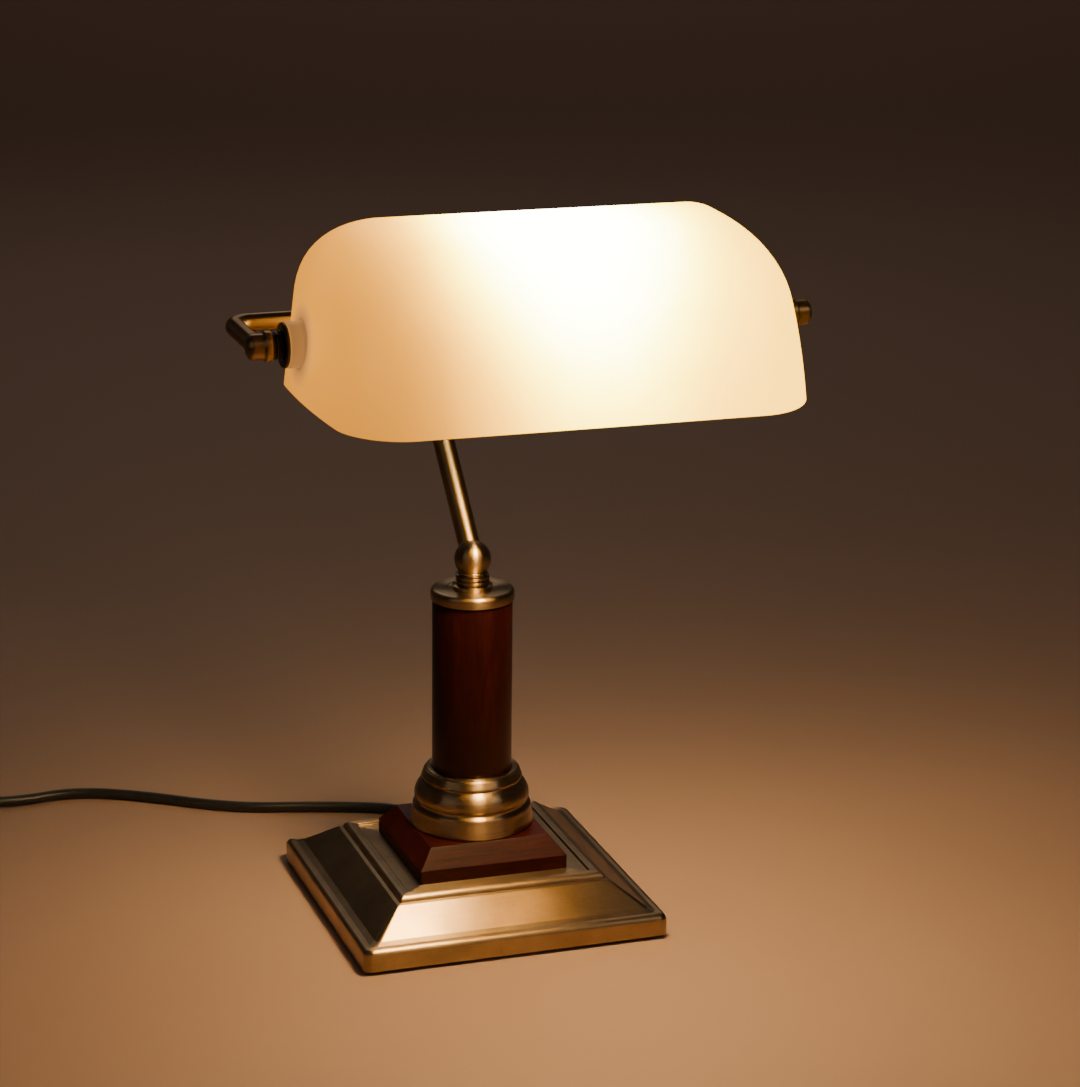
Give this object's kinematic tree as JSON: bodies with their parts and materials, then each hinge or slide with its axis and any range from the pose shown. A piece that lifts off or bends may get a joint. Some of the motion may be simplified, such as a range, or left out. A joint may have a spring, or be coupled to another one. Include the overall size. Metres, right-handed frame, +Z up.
{
  "type": "bankers lamp",
  "caption": "Desk lamp with a stepped square foot, a wooden column, a curved arm and a half-round opal glass shade that tilts in a yoke; mains cord with a switch and a plug.",
  "frame": {"origin": "centre of the foot's underside, on the table", "axes": "+Z up; +X along the shade, to the right as seen by the person it lights; the shade hangs over the front edge, on the -Y side, and the cord leaves at the back, on the +Y side"},
  "size_m": [0.5057, 0.3929, 0.3808],
  "materials": {
    "foam_rubber": "matte, self-adhesive pad",
    "plated_steel": "zinc plated",
    "ballast_iron": "rough casting",
    "aged_brass": "aged, lacquered, dark in the corners",
    "mahogany": "red-brown stain under a gloss varnish",
    "opal_glass": "opal white, satin, lit warm from inside",
    "bulb_glass": "frosted inside, lit",
    "bulb_cap": "spun screw cap",
    "black_plastic": "moulded, satin gloss",
    "black_cord": "extruded sheath, slight sheen",
    "pin_metal": "nickel plated"
  },
  "bodies": {
    "base": {"base_pad": "foam_rubber", "bottom_plate": "plated_steel", "base_screws": "plated_steel", "rod_nut": "plated_steel", "rod_washer": "plated_steel", "tie_rod": "plated_steel", "ballast": "ballast_iron", "base_shell": "aged_brass", "collar": "aged_brass", "column_cap": "aged_brass", "swivel_neck": "aged_brass", "wood_plinth": "mahogany", "wood_column": "mahogany", "cord_bushing": "black_plastic", "switch_base": "black_plastic", "switch_cover": "black_plastic", "plug_body": "black_plastic", "cord_lead": "black_cord", "cord_tail": "black_cord", "cord_coil": "black_cord", "cord_end": "black_cord", "plug_pins": "pin_metal"},
    "head": {"neck_ball": "aged_brass", "arm_tube": "aged_brass", "yoke_hub": "aged_brass", "yoke_tube": "aged_brass", "yoke_socket_left": "aged_brass", "yoke_socket_right": "aged_brass", "pivot_stud_left": "aged_brass", "pivot_stud_right": "aged_brass", "grooved_bushing_left": "black_plastic", "grooved_bushing_right": "black_plastic", "pivot_lock_nut_left": "aged_brass", "pivot_lock_nut_right": "aged_brass", "holder_stem": "aged_brass", "lampholder_cap": "black_plastic", "lampholder_body": "black_plastic", "lampholder_ring": "black_plastic", "bulb_base": "bulb_cap", "bulb_glass": "bulb_glass"},
    "shade": {"glass_shade": "opal_glass", "flange_washer_left": "black_plastic", "flange_washer_right": "black_plastic", "inner_washer_left": "black_plastic", "inner_washer_right": "black_plastic"},
    "rocker": {"switch_rocker": "black_plastic"}
  },
  "joints": [
    {"name": "head_swivel", "type": "hinge", "parent": "base", "child": "head", "pos_m": [0, 0, 0.178], "axis": [0, 0, 1], "range_deg": [-165, 165]},
    {"name": "shade_tilt", "type": "hinge", "parent": "head", "child": "shade", "pos_m": [0, -0.096, 0.325], "axis": [1, 0, 0], "range_deg": [-40, 35]},
    {"name": "rocker_tip", "type": "hinge", "parent": "base", "child": "rocker", "pos_m": [-0.281, 0.1995, 0.012], "axis": [0, 1, 0], "range_deg": [-16, 0]}
  ]
}
